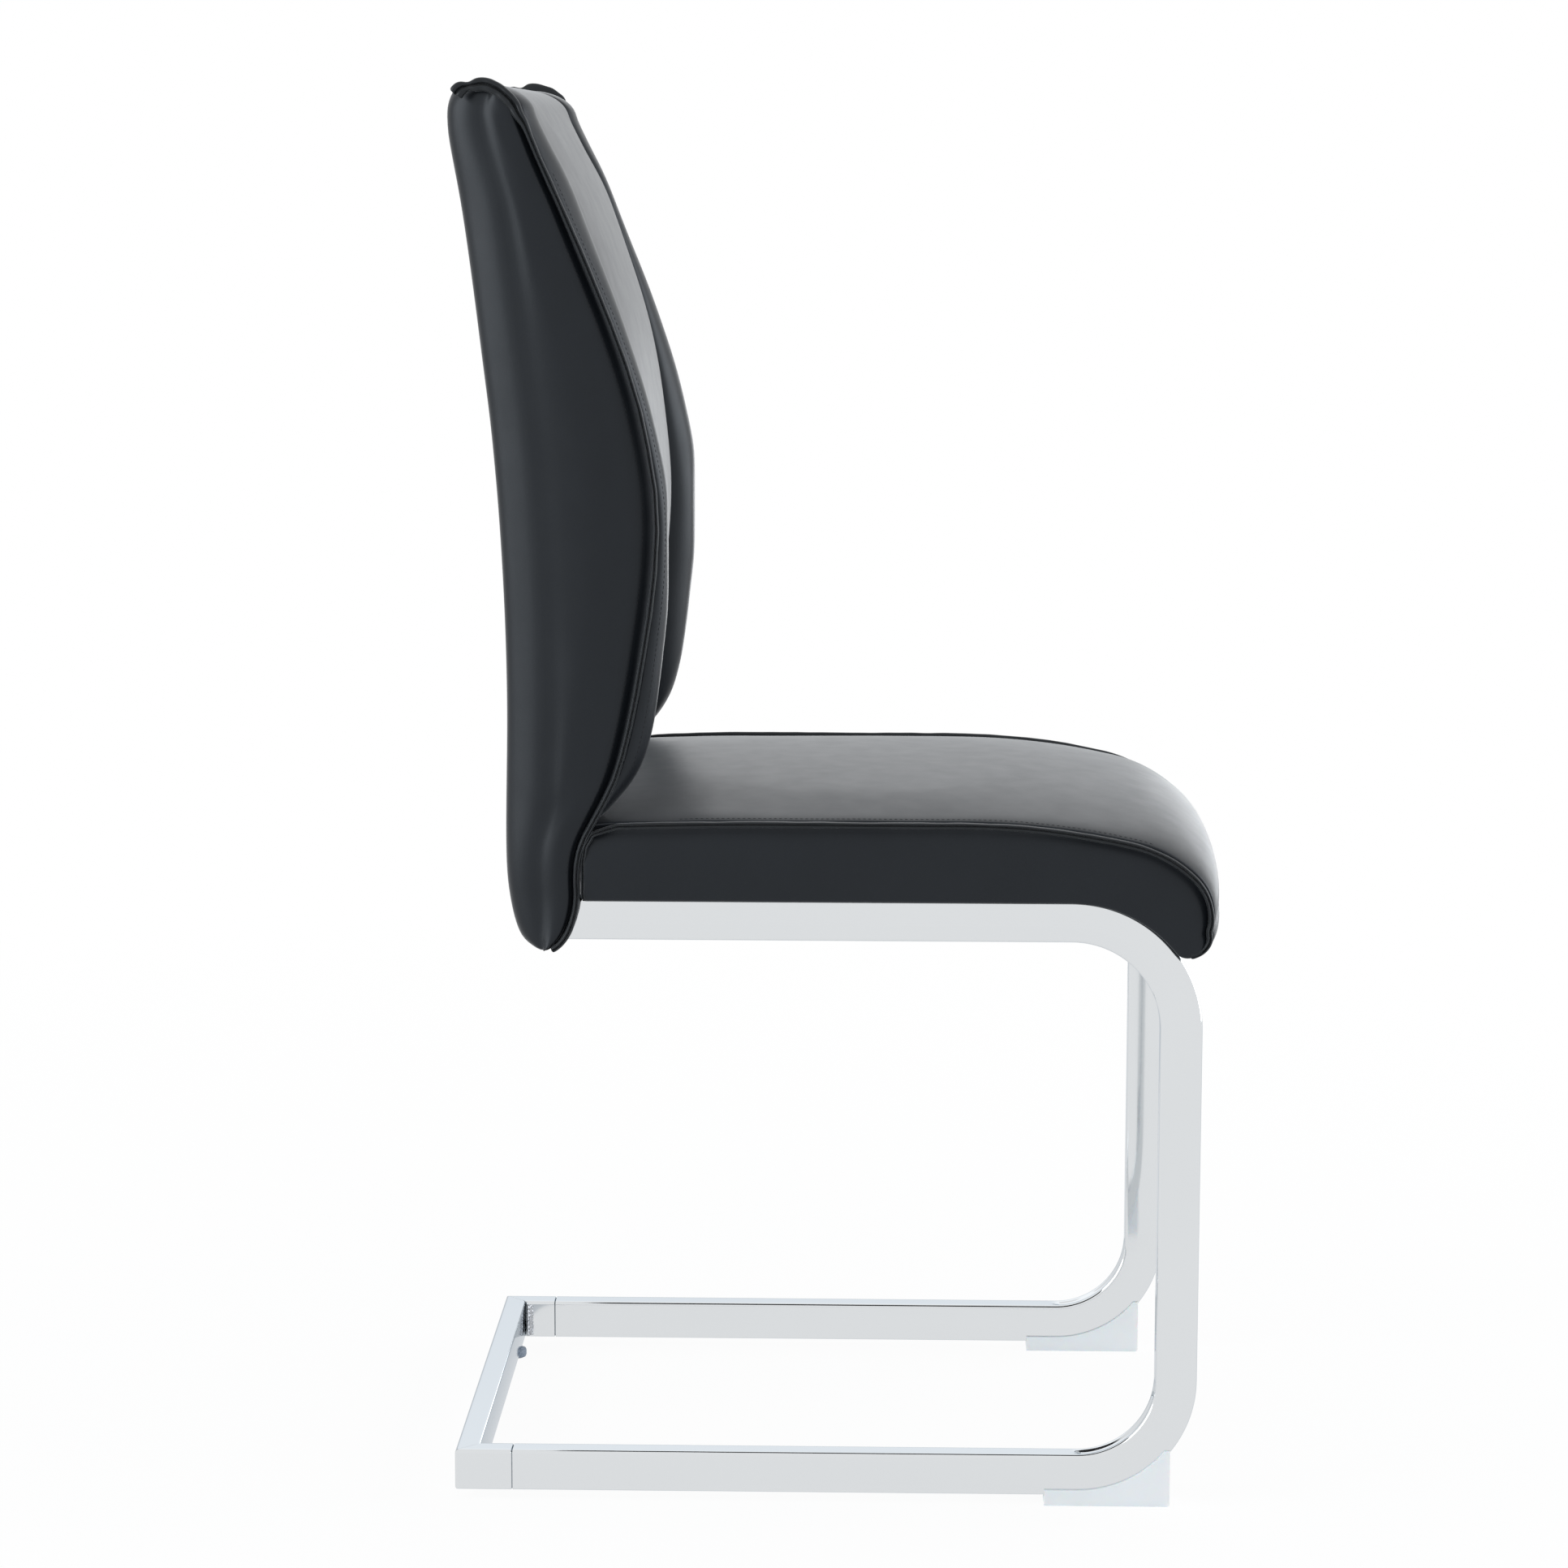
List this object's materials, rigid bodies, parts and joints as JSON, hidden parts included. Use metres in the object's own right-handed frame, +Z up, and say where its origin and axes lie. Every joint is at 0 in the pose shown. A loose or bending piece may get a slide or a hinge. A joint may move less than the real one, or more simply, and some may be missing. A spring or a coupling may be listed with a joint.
{
  "type": "cantilever chair",
  "caption": "Cantilever dining chair: bent rectangular chrome tube frame with an upholstered seat and a high bolstered back in black leather.",
  "frame": {"origin": "on the floor, under the middle of the chair's outline seen from above", "axes": "+Z up, the sitter faces -Y, +X to the sitter's left"},
  "size_m": [0.43, 0.5498, 0.9897],
  "materials": {
    "chrome_tube": "polished chrome plate",
    "weld_metal": "chrome over a rough bead",
    "zinc_steel": "zinc plate",
    "painted_steel": "black paint",
    "white_plastic": "smooth moulded",
    "grey_plastic": "smooth moulded",
    "black_plastic": "moulded",
    "plywood": "raw plywood",
    "foam": "cut polyurethane foam",
    "dust_cloth": "thin nonwoven",
    "black_leather": "fine grained, satin"
  },
  "bodies": {
    "root": {"back_cover": "black_leather", "back_cross_lower": "painted_steel", "back_cross_upper": "painted_steel", "back_foam": "foam", "back_post_left": "painted_steel", "back_post_right": "painted_steel", "back_support_panel": "painted_steel", "back_welt_left": "black_leather", "back_welt_right": "black_leather", "base_corner_left": "chrome_tube", "base_corner_right": "chrome_tube", "base_crossbar": "chrome_tube", "corner_weld_left": "weld_metal", "corner_weld_right": "weld_metal", "front_glide_left": "white_plastic", "front_glide_right": "white_plastic", "joint_sleeve_left": "zinc_steel", "joint_sleeve_right": "zinc_steel", "post_bolts": "zinc_steel", "rail_end_caps": "black_plastic", "rail_inserts": "zinc_steel", "rear_glides": "grey_plastic", "seat_board": "plywood", "seat_brace_front": "painted_steel", "seat_brace_rear": "painted_steel", "seat_cover": "black_leather", "seat_foam": "foam", "seat_lining": "dust_cloth", "seat_piping_left": "black_leather", "seat_piping_right": "black_leather", "seat_screws": "zinc_steel", "side_tube_left": "chrome_tube", "side_tube_right": "chrome_tube"}
  },
  "joints": []
}
